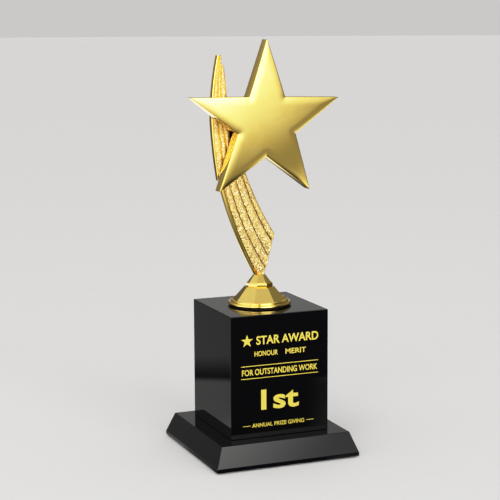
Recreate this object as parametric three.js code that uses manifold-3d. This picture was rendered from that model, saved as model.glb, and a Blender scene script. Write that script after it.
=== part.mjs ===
// Star trophy: a gilt cast star on a two-part ribbon, a turned and faceted foot,
// and a black crystal column on a bevelled plinth, all drawn together by one tie rod.
// Millimetres, +Z up, printed face of the column toward -Y.
// The origin is the middle of the underside of the felt pad.

import * as THREE from 'three';
import { mergeVertices } from 'three/addons/utils/BufferGeometryUtils.js';
import Module from 'manifold-3d';

const wasm = await Module();
wasm.setup();

// ---------------------------------------------------------------- driving dimensions

// pad, plinth and column
const padThickness = 1.2;
const padInset = 4;
const plinthSide = 116.7;
const plinthBand = 2.6;
const plinthSlopeHeight = 15.8;
const plinthSlopeRun = 5.9;
const columnSide = 80;
const columnHeight = 94.5;
const columnChamfer = 0.5;

// tie rod and its fastening under the plinth
const rodDiameter = 8;
const rodEndBelowNut = 1;
const nutHeight = 6.5;
const nutAcrossFlats = 1.625 * rodDiameter;
const washerThickness = 1.6;
const washerDiameter = 2.1 * rodDiameter;
const fibreWasherThickness = 1;
const padClearance = 1;
const spannerClearance = 3.4;

// fits
const boreClearance = 0.4;
const slipClearance = 0.3;

// foot
const gasketThickness = 0.5;
const gasketInset = 2;
const footRadius = 24.6;
const footBeadHeight = 2;
const footUpperBeadHeight = 1.2;
const footStep = 2.2;
const facetCount = 8;
const facetTurn = THREE.MathUtils.degToRad(11);
const bellBottomRadius = 20.9;
const bellTopRadius = 11.7;
const bellHeight = 10.6;
const bellWall = 2.2;
const collarRadius = 10.4;
const collarHeight = 3.2;
const neckBottomRadius = 9.2;
const neckTopRadius = 5;
const neckHeight = 5.9;
const spigotWall = 2.5;
const spigotWeb = 1.5;
const rodThreadDepth = 6.5;
const tangDiameter = 5;
const tangLength = 9.5;
const tangPinDiameter = 2;

// ribbons
const ribbonThickness = 5;
const ribbonLift = 0.3;
const grooveWidth = 0.8;
const grooveDepth = 0.9;

// star
const starRadius = 63.2;
const starInnerRatio = 0.39;
const starDepth = 9.5;
const starLean = THREE.MathUtils.degToRad(-1);
const starRise = 117.6;
const starAside = -0.2;
const starTipCut = 1;
const starEdgeRound = 2;
const starWall = 2;
const starBackThickness = 1.5;
const starStandoff = 3;
const bossDiameter = 8;

// bracket and screws behind the star
const bracketThickness = 3;
const starScrewDiameter = 4;
const ribbonScrewDiameter = 3;
const screwHeadPerDiameter = 1.9;
const screwHeadHeightPerDiameter = 0.65;
const ribbonScrewDepth = 3.4;

// roundness
const roundSides = 24;
const curveSteps = 10;

// ---------------------------------------------------------------- stacked heights

const plinthBottom = padThickness;
const plinthTop = plinthBottom + plinthBand + plinthSlopeHeight;
const columnTop = plinthTop + columnHeight;
const footBottom = columnTop + gasketThickness;
const bellBottom = footBottom + footBeadHeight + footUpperBeadHeight;
const collarBottom = bellBottom + bellHeight;
const neckBottom = collarBottom + collarHeight;
const neckTop = neckBottom + neckHeight;
const ribbonBottom = neckTop + ribbonLift;
const tangBottom = neckTop - tangLength;
const spigotBottom = tangBottom - slipClearance - spigotWeb - rodThreadDepth;
const rodTop = spigotBottom + rodThreadDepth - slipClearance;
const rodBottom = plinthBottom + padClearance;
const nutBottom = rodBottom + rodEndBelowNut;
const washerBottom = nutBottom + nutHeight;
const fibreWasherBottom = washerBottom + washerThickness;
const counterboreTop = fibreWasherBottom + fibreWasherThickness;

// depths, front to back
const ribbonFront = -ribbonThickness / 2;
const ribbonBack = ribbonThickness / 2;
const bracketBack = ribbonBack + bracketThickness;
const starBack = ribbonFront - starStandoff;
const starFront = starBack - starDepth;
const starCentreZ = neckTop + starRise;

// ---------------------------------------------------------------- solids

// Any closed geometry as a manifold solid.
function solid(geometry) {
  const bare = geometry.index ? geometry.toNonIndexed() : geometry.clone();
  for (const name of Object.keys(bare.attributes)) {
    if (name !== 'position') bare.deleteAttribute(name);
  }
  const merged = mergeVertices(bare, 1e-4);
  return new wasm.Manifold(new wasm.Mesh({
    numProp: 3,
    vertProperties: new Float32Array(merged.attributes.position.array),
    triVerts: new Uint32Array(merged.index.array),
  }));
}

// A manifold solid back as a geometry.
function geometryOf(body) {
  const mesh = body.getMesh();
  const geometry = new THREE.BufferGeometry();
  geometry.setAttribute('position', new THREE.BufferAttribute(mesh.vertProperties, 3));
  geometry.setIndex(new THREE.BufferAttribute(mesh.triVerts, 1));
  return geometry;
}

// A turned solid from [radius, height] points that start and end on the axis.
function turned(points, sides = roundSides, turn = 0) {
  const profile = points.map(([radius, height]) => new THREE.Vector2(radius, height));
  const geometry = new THREE.LatheGeometry(profile, sides, turn);
  return solid(geometry.rotateX(Math.PI / 2));
}

// A plain upright cylinder between two heights.
function post(diameter, bottom, top, x = 0, y = 0) {
  const radius = diameter / 2;
  const body = turned([[0, bottom], [radius, bottom], [radius, top], [0, top]]);
  return body.translate([x, y, 0]);
}

// A plain cylinder lying along Y between two depths.
function crossPost(diameter, front, back, x, z) {
  return post(diameter, front, back).rotate([-90, 0, 0]).translate([x, 0, z]);
}

// An outline drawn in X and Z, given thickness from front to back along Y.
function slab(shape, front, back, bevel = 0) {
  const geometry = new THREE.ExtrudeGeometry(shape, {
    depth: back - front - bevel,
    bevelEnabled: bevel > 0,
    bevelThickness: bevel,
    bevelSize: bevel,
    bevelOffset: -bevel,
    bevelSegments: 3,
    curveSegments: curveSteps,
  });
  geometry.rotateX(Math.PI / 2);
  geometry.translate(0, back, 0);
  return solid(geometry);
}

// An outline point given from the middle of the neck's top.
function place([x, rise]) {
  return new THREE.Vector2(x, neckTop + rise);
}

// A curve through the points [start, pull, end], and on through further [pull, end] pairs.
function sweep(...points) {
  const path = new THREE.CurvePath();
  for (let i = 0; i + 2 < points.length; i += 2) {
    path.add(new THREE.QuadraticBezierCurve(...points.slice(i, i + 3).map(place)));
  }
  return path;
}

// A closed outline from curves and corners, walked in order.
function outline(...stretches) {
  const points = stretches.flatMap((item) => (
    Array.isArray(item) ? [place(item)] : item.getPoints(curveSteps)));
  return new THREE.Shape(points.filter((point, i) => i === 0 || point.distanceTo(points[i - 1]) > 1e-3));
}

// The same curve walked the other way.
function backwards(path) {
  return { getPoints: (steps) => path.getPoints(steps).reverse() };
}

// A narrow band along a curve, as wide as a groove.
function band(path) {
  const along = path.getPoints(curveSteps);
  const side = (sign) => along.map((point, i) => {
    const ahead = along[Math.min(i + 1, along.length - 1)];
    const behind = along[Math.max(i - 1, 0)];
    const direction = ahead.clone().sub(behind).normalize();
    const across = new THREE.Vector2(-direction.y, direction.x);
    return point.clone().addScaledVector(across, sign * grooveWidth / 2);
  });
  return new THREE.Shape([...side(1), ...side(-1).reverse()]);
}

// A ribbon's plate with its grooves cut into the front.
function ribbonPlate(shape, grooves) {
  const plate = slab(shape, ribbonFront, ribbonBack);
  return grooves.reduce(
    (body, path) => body.subtract(slab(band(path), ribbonFront - 1, ribbonFront + grooveDepth)),
    plate,
  );
}

// ---------------------------------------------------------------- base

function feltPad() {
  const corner = (plinthSide / 2 - padInset) * Math.SQRT2;
  return turned([[0, 0], [corner, 0], [corner, padThickness], [0, padThickness]], 4, Math.PI / 4);
}

function plinth() {
  const lower = (plinthSide / 2) * Math.SQRT2;
  const upper = (plinthSide / 2 - plinthSlopeRun) * Math.SQRT2;
  const block = turned([
    [0, plinthBottom],
    [lower, plinthBottom],
    [lower, plinthBottom + plinthBand],
    [upper, plinthTop],
    [0, plinthTop],
  ], 4, Math.PI / 4);
  const counterbore = washerDiameter + spannerClearance;
  return block
    .subtract(post(rodDiameter + 2 * boreClearance, 0, plinthTop + 1))
    .subtract(post(counterbore, 0, counterboreTop));
}

function column() {
  const full = (columnSide / 2) * Math.SQRT2;
  const eased = (columnSide / 2 - columnChamfer) * Math.SQRT2;
  const block = turned([
    [0, plinthTop],
    [eased, plinthTop],
    [full, plinthTop + columnChamfer],
    [full, columnTop - columnChamfer],
    [eased, columnTop],
    [0, columnTop],
  ], 4, Math.PI / 4);
  return block.subtract(post(rodDiameter + 2 * boreClearance, plinthTop - 1, columnTop + 1));
}

// ---------------------------------------------------------------- tie rod and its fastening

function tieRod() {
  const radius = rodDiameter / 2;
  const eased = radius - rodDiameter / 10;
  return turned([
    [0, rodBottom],
    [eased, rodBottom],
    [radius, rodBottom + rodDiameter / 10],
    [radius, rodTop - rodDiameter / 10],
    [eased, rodTop],
    [0, rodTop],
  ]);
}

function ringWasher(outside, bottom, thickness) {
  return post(outside, bottom, bottom + thickness)
    .subtract(post(rodDiameter + 2 * boreClearance, bottom - 1, bottom + thickness + 1));
}

function rodNut() {
  const acrossCorners = nutAcrossFlats / Math.cos(Math.PI / 6);
  const half = acrossCorners / 2;
  const hexagon = turned([[0, nutBottom], [half, nutBottom], [half, washerBottom], [0, washerBottom]], 6);
  return hexagon.subtract(post(rodDiameter + 2 * slipClearance, nutBottom - 1, washerBottom + 1));
}

// ---------------------------------------------------------------- foot

const spigotDiameter = rodDiameter + 2 * spigotWall;
const spigotBore = spigotDiameter + 2 * slipClearance;

function footGasket() {
  const radius = footRadius - gasketInset;
  return post(2 * radius, columnTop, footBottom)
    .subtract(post(spigotBore, columnTop - 1, footBottom + 1));
}

function footRing() {
  const upper = footRadius - footStep;
  const waist = upper - 0.4;
  return turned([
    [0, footBottom],
    [footRadius - 0.8, footBottom],
    [footRadius, footBottom + 0.25 * footBeadHeight],
    [footRadius, footBottom + 0.6 * footBeadHeight],
    [footRadius - 0.9, footBottom + 0.9 * footBeadHeight],
    [waist, footBottom + footBeadHeight],
    [upper, footBottom + footBeadHeight + 0.4 * footUpperBeadHeight],
    [upper - 0.3, footBottom + footBeadHeight + 0.8 * footUpperBeadHeight],
    [upper - 1, bellBottom],
    [0, bellBottom],
  ], 2 * roundSides).subtract(post(spigotBore, footBottom - 1, bellBottom + 1));
}

function facetedDrum(bottomRadius, topRadius, bottom, top) {
  return turned([[0, bottom], [bottomRadius, bottom], [topRadius, top], [0, top]], facetCount, facetTurn);
}

function footBell() {
  const roof = collarBottom - bellWall;
  const mouth = bellBottomRadius - bellWall;
  const hollow = facetedDrum(mouth, bellTopRadius - bellWall, bellBottom, roof);
  return facetedDrum(bellBottomRadius, bellTopRadius, bellBottom, collarBottom)
    .subtract(hollow)
    .subtract(facetedDrum(mouth, mouth, bellBottom - 1, bellBottom))
    .subtract(post(spigotBore, bellBottom - 1, collarBottom + 1));
}

function footCollar() {
  return facetedDrum(collarRadius, collarRadius, collarBottom, neckBottom)
    .subtract(post(spigotBore, collarBottom - 1, neckBottom + 1));
}

const tangPinHeight = collarBottom + collarHeight / 2;
const tangPinBore = tangPinDiameter + 2 * slipClearance;

function ribbonSocket() {
  return facetedDrum(neckBottomRadius, neckTopRadius, neckBottom, neckTop)
    .add(post(spigotDiameter, spigotBottom, neckBottom + 0.5))
    .subtract(post(tangDiameter + 2 * slipClearance, tangBottom - slipClearance, neckTop + 1))
    .subtract(post(rodDiameter + 2 * slipClearance, spigotBottom - 1, spigotBottom + rodThreadDepth))
    .subtract(crossPost(tangPinBore, -spigotDiameter, spigotDiameter, 0, tangPinHeight));
}

function tangPin() {
  const half = spigotDiameter / 2 - slipClearance;
  return crossPost(tangPinDiameter, -half, half, 0, tangPinHeight);
}

// ---------------------------------------------------------------- ribbons

const lowerOuterEdge = sweep([-4.4, ribbonLift], [-22.8, 33.2], [-32.4, 70.5]);
const lowerCornerEdge = sweep([3, ribbonLift], [6.6, 14.8], [11.3, 32.2]);
const lowerInnerEdge = sweep([11.3, 32.2], [-3.2, 55.4], [-13.4, 83]);
const lowerGrooves = [
  sweep([-1.6, -1], [-21.4, 33.4], [-30.6, 74]),
  sweep([3.6, 6], [-17.8, 39.8], [-26.2, 76.5]),
  sweep([7.6, 12.6], [-12, 44.8], [-21.6, 80]),
  sweep([10.8, 23.6], [-5.7, 48.2], [-16.8, 83]),
];

const upperOuterEdge = sweep([-34.4, 74.5], [-38.6, 100], [-39.4, 122], [-39.1, 146], [-34.1, 168.7]);
const upperCornerEdge = sweep([-33.6, 74.5], [-29.6, 91], [-24.8, 104.6]);
const upperInnerEdge = sweep([-24.8, 106.4], [-26, 133], [-29.1, 160.6]);
const upperGrooves = [
  sweep([-33.6, 76.5], [-37.6, 100], [-38, 122], [-37.6, 146], [-32.5, 170]),
  sweep([-29.2, 84.5], [-36.4, 123], [-32.7, 164]),
  sweep([-26.2, 93], [-32.8, 127], [-31.1, 164]),
];

const lowerRibbonScrews = [[-25, 70.2], [-17.6, 74.6]];
const upperRibbonScrews = [[-32.6, 124], [-30.6, 98]];

function screwHole(at, diameter, front, back) {
  const spot = place(at);
  return crossPost(diameter, front, back, spot.x, spot.y);
}

function withBlindHoles(body, spots) {
  const bottom = ribbonBack - ribbonScrewDepth - slipClearance;
  const width = ribbonScrewDiameter + 2 * slipClearance;
  return spots.reduce((rest, at) => rest.subtract(screwHole(at, width, bottom, ribbonBack + 1)), body);
}

function lowerRibbon() {
  const shape = outline(backwards(lowerOuterEdge), lowerCornerEdge, lowerInnerEdge);
  const tang = post(tangDiameter, tangBottom, ribbonBottom + tangDiameter / 2)
    .subtract(crossPost(tangPinBore, -tangDiameter, tangDiameter, 0, tangPinHeight));
  return withBlindHoles(ribbonPlate(shape, lowerGrooves).add(tang), lowerRibbonScrews);
}

function upperRibbon() {
  const tip = [-31.3, 168.7];
  const step = [-31.1, 163];
  const shape = outline(backwards(upperOuterEdge), upperCornerEdge, upperInnerEdge, step, tip);
  return withBlindHoles(ribbonPlate(shape, upperGrooves), upperRibbonScrews);
}

// ---------------------------------------------------------------- bracket behind the star

const starScrews = [[0, starRise - 10], [0, starRise + 10]];

function starBracket() {
  const corners = [
    [-28.6, 65.4], [-13.6, 72.6], [-12, 79], [4, 93], [10, 99], [10, 127], [5, starRise + 14.6],
    [-30, starRise + 14.6], [-35, 127], [-35.6, 105], [-31.6, 84], [-29.6, 72],
  ];
  const holes = [
    ...starScrews.map((at) => [at, starScrewDiameter]),
    ...[...lowerRibbonScrews, ...upperRibbonScrews].map((at) => [at, ribbonScrewDiameter]),
  ];
  return holes.reduce(
    (body, [at, diameter]) => body.subtract(
      screwHole(at, diameter + 2 * slipClearance, ribbonBack - 1, bracketBack + 1)),
    slab(outline(...corners), ribbonBack, bracketBack),
  );
}

function backScrew(at, diameter, end) {
  const head = screwHole(at, diameter * screwHeadPerDiameter, bracketBack,
    bracketBack + diameter * screwHeadHeightPerDiameter);
  return head.add(screwHole(at, diameter, end, bracketBack + 0.1));
}

// ---------------------------------------------------------------- star

// Distance from the star's middle to each of its edges.
const starEdgeDistance = (() => {
  const inner = starRadius * starInnerRatio;
  const tip = new THREE.Vector2(0, starRadius);
  const notch = new THREE.Vector2(0, inner).rotateAround(new THREE.Vector2(), Math.PI / 5);
  return Math.abs(tip.cross(notch)) / tip.distanceTo(notch);
})();

// The star's outline moved in by an inset, with its tips eased.
function starRing(inset, depth) {
  const scale = (starEdgeDistance - inset) / starEdgeDistance;
  const corners = [];
  for (let i = 0; i < 10; i += 1) {
    const radius = i % 2 === 0 ? starRadius : starRadius * starInnerRatio;
    const angle = Math.PI / 2 + starLean + (i * Math.PI) / 5;
    corners.push(new THREE.Vector2(Math.cos(angle), Math.sin(angle)).multiplyScalar(radius));
  }
  const ring = [];
  corners.forEach((corner, i) => {
    if (i % 2 === 1) {
      ring.push(corner);
      return;
    }
    const before = corners[(i + 9) % 10];
    const after = corners[(i + 1) % 10];
    const start = corner.clone().lerp(before, starTipCut / corner.distanceTo(before));
    const end = corner.clone().lerp(after, starTipCut / corner.distanceTo(after));
    ring.push(...new THREE.QuadraticBezierCurve(start, corner, end).getPoints(2));
  });
  return ring.map((point) => new THREE.Vector3(
    starAside + point.x * scale, depth, starCentreZ + point.y * scale));
}

// A solid through star outlines, given as [inset, depth] from back to front.
function starSolid(levels) {
  const rings = levels.map(([inset, depth]) => starRing(inset, depth));
  const count = rings[0].length;
  const points = rings.flat();
  const triangles = [];
  for (let level = 0; level + 1 < rings.length; level += 1) {
    for (let i = 0; i < count; i += 1) {
      const a = level * count + i;
      const b = level * count + ((i + 1) % count);
      triangles.push(a, b, a + count, b, b + count, a + count);
    }
  }
  const backMiddle = points.length;
  points.push(new THREE.Vector3(starAside, levels[0][1], starCentreZ));
  points.push(new THREE.Vector3(starAside, levels[levels.length - 1][1], starCentreZ));
  const last = (rings.length - 1) * count;
  for (let i = 0; i < count; i += 1) {
    const next = (i + 1) % count;
    triangles.push(backMiddle, next, i);
    triangles.push(backMiddle + 1, last + i, last + next);
  }
  const geometry = new THREE.BufferGeometry().setFromPoints(points);
  geometry.setIndex(triangles);
  return solid(geometry);
}

function starShell() {
  const outside = starSolid([
    [0, starBack],
    [0, starFront + starEdgeRound],
    [0.3 * starEdgeRound, starFront + 0.4 * starEdgeRound],
    [starEdgeRound, starFront],
  ]);
  const inside = starSolid([
    [starWall, starBack + 1],
    [starWall, starFront + starWall + starEdgeRound],
    [starWall + starEdgeRound, starFront + starWall],
  ]);
  const bossTop = starFront + starWall - 0.5;
  const bossEnd = starBack - starBackThickness - slipClearance;
  const holeWidth = starScrewDiameter + 2 * slipClearance;
  return starScrews.reduce(
    (body, at) => body
      .add(screwHole(at, bossDiameter, bossTop, bossEnd))
      .subtract(screwHole(at, holeWidth, starFront + starWall + slipClearance, bossEnd + 1)),
    outside.subtract(inside),
  );
}

function starBackPlate() {
  const inset = starWall + slipClearance;
  const plate = starSolid([[inset, starBack], [inset, starBack - starBackThickness]]);
  const holeWidth = starScrewDiameter + 2 * slipClearance;
  return starScrews.reduce(
    (body, at) => body.subtract(screwHole(at, holeWidth, starBack - starBackThickness - 1, starBack + 1)),
    plate,
  );
}

function starSpacer(at) {
  return screwHole(at, bossDiameter, starBack, ribbonBack)
    .subtract(screwHole(at, starScrewDiameter + 2 * slipClearance, starBack - 1, ribbonBack + 1));
}

// ---------------------------------------------------------------- assembly

const finishes = {
  felt: { color: 0x141414, roughness: 0.95, metalness: 0 },
  crystal: { color: 0x050506, roughness: 0.04, metalness: 0 },
  steel: { color: 0xb8bbbf, roughness: 0.35, metalness: 1 },
  fibre: { color: 0x5a3a24, roughness: 0.8, metalness: 0 },
  rubber: { color: 0x0c0c0c, roughness: 0.7, metalness: 0 },
  polishedGold: { color: 0xf2c75c, roughness: 0.08, metalness: 1 },
  frostedGold: { color: 0xe2b565, roughness: 0.45, metalness: 1 },
};

const starScrewEnd = starFront + starWall + 2 * slipClearance;
const ribbonScrewEnd = ribbonBack - ribbonScrewDepth;
const [lowerStarScrew, upperStarScrew] = starScrews;

const pieces = [
  ['felt_pad', 'felt', feltPad()],
  ['plinth', 'crystal', plinth()],
  ['column', 'crystal', column()],
  ['tie_rod', 'steel', tieRod()],
  ['rod_nut', 'steel', rodNut()],
  ['rod_washer', 'steel', ringWasher(washerDiameter, washerBottom, washerThickness)],
  ['fibre_washer', 'fibre', ringWasher(washerDiameter, fibreWasherBottom, fibreWasherThickness)],
  ['foot_gasket', 'rubber', footGasket()],
  ['foot_ring', 'polishedGold', footRing()],
  ['foot_bell', 'polishedGold', footBell()],
  ['foot_collar', 'polishedGold', footCollar()],
  ['ribbon_socket', 'polishedGold', ribbonSocket()],
  ['tang_pin', 'steel', tangPin()],
  ['lower_ribbon', 'frostedGold', lowerRibbon()],
  ['upper_ribbon', 'frostedGold', upperRibbon()],
  ['star_bracket', 'polishedGold', starBracket()],
  ['star_shell', 'polishedGold', starShell()],
  ['star_back_plate', 'polishedGold', starBackPlate()],
  ['lower_star_spacer', 'polishedGold', starSpacer(lowerStarScrew)],
  ['upper_star_spacer', 'polishedGold', starSpacer(upperStarScrew)],
  ['lower_star_screw', 'steel', backScrew(lowerStarScrew, starScrewDiameter, starScrewEnd)],
  ['upper_star_screw', 'steel', backScrew(upperStarScrew, starScrewDiameter, starScrewEnd)],
  ...lowerRibbonScrews.map((at, i) => [
    `lower_ribbon_screw_${i + 1}`, 'steel', backScrew(at, ribbonScrewDiameter, ribbonScrewEnd)]),
  ...upperRibbonScrews.map((at, i) => [
    `upper_ribbon_screw_${i + 1}`, 'steel', backScrew(at, ribbonScrewDiameter, ribbonScrewEnd)]),
];

const trophy = new THREE.Group();
for (const [name, finish, body] of pieces) {
  const mesh = new THREE.Mesh(geometryOf(body), new THREE.MeshStandardMaterial(finishes[finish]));
  mesh.name = name;
  trophy.add(mesh);
}

export default trophy;
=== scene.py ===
"""Star trophy: the visual model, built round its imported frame.

A gilt star and a striped two-part ribbon stand on a turned and faceted foot, on a black crystal
column with a bevelled plinth. Everything is in metres, +Z up, the column's printed face toward -Y.
"""

import math

import bmesh
import bpy
import numpy as np
from bpy.props import FloatProperty, FloatVectorProperty, IntProperty, PointerProperty, StringProperty
from bpy.types import Operator, Panel, PropertyGroup
from mathutils import Matrix, Vector


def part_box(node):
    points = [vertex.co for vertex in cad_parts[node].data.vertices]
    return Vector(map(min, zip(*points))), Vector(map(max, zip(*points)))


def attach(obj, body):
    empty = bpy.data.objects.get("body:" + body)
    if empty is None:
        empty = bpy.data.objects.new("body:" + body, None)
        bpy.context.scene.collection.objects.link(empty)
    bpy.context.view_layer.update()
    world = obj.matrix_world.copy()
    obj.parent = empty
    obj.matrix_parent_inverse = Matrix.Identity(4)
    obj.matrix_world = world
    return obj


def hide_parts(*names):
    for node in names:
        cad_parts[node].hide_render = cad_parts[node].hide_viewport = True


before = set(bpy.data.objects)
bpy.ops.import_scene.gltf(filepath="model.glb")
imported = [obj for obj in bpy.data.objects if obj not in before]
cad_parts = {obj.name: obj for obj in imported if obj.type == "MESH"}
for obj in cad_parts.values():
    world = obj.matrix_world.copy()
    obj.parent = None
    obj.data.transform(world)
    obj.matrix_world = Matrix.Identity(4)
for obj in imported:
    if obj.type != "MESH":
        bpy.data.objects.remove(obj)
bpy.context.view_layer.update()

bl_info = {
    "name": "Star Trophy",
    "version": (1, 0, 0),
    "blender": (4, 5, 0),
    "location": "View3D > Sidebar > Trophy",
    "description": "Builds a star trophy piece by piece",
    "category": "Add Mesh",
}

MM = 0.001
BODY = "root"

# Heights and depths that the pieces share, read from the frame.
COLUMN_LOW, COLUMN_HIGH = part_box("column")
PLINTH_LOW, PLINTH_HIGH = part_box("plinth")
RING_LOW, RING_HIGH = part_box("foot_ring")
BELL_LOW, BELL_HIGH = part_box("foot_bell")
COLLAR_LOW, COLLAR_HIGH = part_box("foot_collar")
SOCKET_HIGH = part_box("ribbon_socket")[1]
UPPER_LOW, UPPER_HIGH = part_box("upper_ribbon")
BRACKET_LOW, BRACKET_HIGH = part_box("star_bracket")
STAR_LOW, STAR_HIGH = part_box("star_shell")
NECK_TOP = SOCKET_HIGH.z


# ---------------------------------------------------------------- sizes and colours a user may change

class TrophyGold(PropertyGroup):
    """Finish of the cast parts"""

    polished: FloatVectorProperty(
        name="Polished gold", description="Colour of the mirror-polished plating",
        subtype="COLOR", default=(0.95, 0.69, 0.17), min=0, max=1)
    frosted: FloatVectorProperty(
        name="Frosted gold", description="Colour of the sand-blasted stripes",
        subtype="COLOR", default=(1.0, 0.71, 0.235), min=0, max=1)
    print_gold: FloatVectorProperty(
        name="Foil gold", description="Colour of the printed lines",
        subtype="COLOR", default=(1.0, 0.80, 0.10), min=0, max=1)
    polish_roughness: FloatProperty(
        name="Polish roughness", description="Roughness of the polished plating",
        default=0.07, min=0, max=1)
    star_roughness: FloatProperty(
        name="Star roughness", description="Roughness of the star's face",
        default=0.085, min=0, max=1)


class TrophyCrystal(PropertyGroup):
    """Black crystal of the column and plinth"""

    tint: FloatVectorProperty(
        name="Tint", description="Colour of the black crystal",
        subtype="COLOR", default=(0.0022, 0.0022, 0.0026), min=0, max=1)
    edge_round: FloatProperty(
        name="Edge rounding", description="Width of the polished edge facets",
        default=0.0005, min=0, unit="LENGTH")


class TrophyStar(PropertyGroup):
    """Shape of the star's face"""

    dome: FloatProperty(
        name="Dome", description="How far the middle stands ahead of the tips",
        default=0.0026, unit="LENGTH")
    roll_height: FloatProperty(
        name="Edge fall", description="How far the face falls toward its edges",
        default=0.00027, unit="LENGTH")
    roll_width: FloatProperty(
        name="Edge fall width", description="Width of the falling band along the edges",
        default=0.0062, unit="LENGTH")
    edge_steps: IntProperty(
        name="Edge steps", description="Divisions of each straight edge", default=26, min=4)


class TrophyRibbon(PropertyGroup):
    """Relief of both ribbons"""

    groove_width: FloatProperty(
        name="Groove width", description="Width of the polished grooves",
        default=0.0007, unit="LENGTH")
    groove_depth: FloatProperty(
        name="Groove depth", description="Depth of the polished grooves",
        default=0.0009, unit="LENGTH")
    crown: FloatProperty(
        name="Stripe crown", description="How far the middle of a stripe bulges",
        default=0.0004, unit="LENGTH")
    scallop: FloatProperty(
        name="Scallop", description="How far a stripe's end bulges past the slanted edge",
        default=0.0007, unit="LENGTH")
    rows: IntProperty(
        name="Rows", description="Divisions along a ribbon", default=150, min=20)


class TrophyPrint(PropertyGroup):
    """Foil lines on the front of the column"""

    title: StringProperty(name="Title", description="Top line", default="STAR AWARD")
    left_word: StringProperty(name="Left word", description="Small word at the left", default="HONOUR")
    right_word: StringProperty(name="Right word", description="Small word at the right", default="MERIT")
    middle: StringProperty(
        name="Middle", description="Line between the rules", default="FOR OUTSTANDING WORK")
    large: StringProperty(name="Large", description="Large figure", default="1st")
    foot: StringProperty(name="Foot", description="Bottom line", default="ANNUAL PRIZE GIVING")
    thickness: FloatProperty(
        name="Foil thickness", description="How far the foil stands proud",
        default=0.00006, unit="LENGTH")


class TrophyStage(PropertyGroup):
    """Floor, light and camera"""

    floor: FloatVectorProperty(
        name="Floor", description="Colour of the floor",
        subtype="COLOR", default=(0.74, 0.73, 0.72), min=0, max=1)
    azimuth: FloatProperty(
        name="Azimuth", description="Camera angle round the trophy",
        default=math.radians(-22.12), subtype="ANGLE")
    elevation: FloatProperty(
        name="Elevation", description="Camera angle above the horizon",
        default=math.radians(9.04), subtype="ANGLE")
    tilt: FloatProperty(
        name="Tilt", description="Camera roll about its own axis",
        default=math.radians(-0.29), subtype="ANGLE")
    distance: FloatProperty(
        name="Distance", description="Camera distance from the point it looks at",
        default=1.1569, unit="LENGTH")
    look_side: FloatProperty(
        name="Look aside", description="Point looked at, across the view",
        default=-0.0072, unit="LENGTH")
    look_height: FloatProperty(
        name="Look height", description="Point looked at, above the floor",
        default=0.1565, unit="LENGTH")
    lens: FloatProperty(name="Lens", description="Focal length in millimetres", default=107.84)


# ---------------------------------------------------------------- node helpers

def new_group(name, inputs, outputs):
    """A shader node group with float, colour or vector sockets."""
    group = bpy.data.node_groups.new(name, "ShaderNodeTree")
    kinds = {"value": "NodeSocketFloat", "colour": "NodeSocketColor", "vector": "NodeSocketVector"}
    for socket, kind, default in inputs:
        made = group.interface.new_socket(name=socket, in_out="INPUT", socket_type=kinds[kind])
        made.default_value = default
    for socket, kind in outputs:
        group.interface.new_socket(name=socket, in_out="OUTPUT", socket_type=kinds[kind])
    return group


def add(tree, kind, inputs=None, **settings):
    """A node with its settings and its inputs, each a value or another node's output."""
    node = tree.nodes.new(kind)
    for key, value in settings.items():
        setattr(node, key, value)
    for key, value in (inputs or {}).items():
        if isinstance(value, bpy.types.NodeSocket):
            tree.links.new(value, node.inputs[key])
        else:
            node.inputs[key].default_value = value
    return node


def math_node(tree, operation, a, b, clamp=False):
    """A sum, product or comparison of two values."""
    return add(tree, "ShaderNodeMath", {0: a, 1: b}, operation=operation, use_clamp=clamp).outputs[0]


def remap(tree, value, low, high, to_low, to_high, smooth=False):
    """A value carried from one range to another, held at its ends."""
    kind = "SMOOTHSTEP" if smooth else "LINEAR"
    node = add(tree, "ShaderNodeMapRange", {
        "Value": value, "From Min": low, "From Max": high, "To Min": to_low, "To Max": to_high,
    }, interpolation_type=kind)
    return node.outputs["Result"]


def blend_colour(tree, factor, a, b):
    """A colour between a and b."""
    return add(tree, "ShaderNodeMix", {0: factor, 6: a, 7: b}, data_type="RGBA").outputs[2]


def vector_math(tree, operation, inputs):
    """A vector sum, product, length or the like."""
    node = add(tree, "ShaderNodeVectorMath", inputs, operation=operation)
    return node.outputs["Value" if operation in ("LENGTH", "DOT_PRODUCT") else "Vector"]


def opaque(colour):
    """A colour of three numbers as one of four."""
    return (colour[0], colour[1], colour[2], 1.0)


def tinted(colour, shares):
    """A colour with each of its parts scaled, and none above full."""
    return opaque([min(1.0, part * share) for part, share in zip(colour, shares)])


def object_place(tree):
    """Where a point is on its own piece."""
    return add(tree, "ShaderNodeTexCoord").outputs["Object"]


def noise(tree, place, scale, detail=2.0, roughness=0.5):
    """Cloudy values over the surface."""
    node = add(tree, "ShaderNodeTexNoise", {
        "Vector": place, "Scale": scale, "Detail": detail, "Roughness": roughness})
    return node.outputs["Fac"]


def stretched(tree, place, times):
    """A place squeezed along Z, so that what is drawn there runs round the piece."""
    return add(tree, "ShaderNodeMapping", {"Vector": place, "Scale": (1.0, 1.0, times)}).outputs[0]


def connect(tree, node, values):
    """Links each named value to the node's input of that name."""
    for name, value in values.items():
        tree.links.new(value, node.inputs[name])


# ---------------------------------------------------------------- shared surface effects

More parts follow.
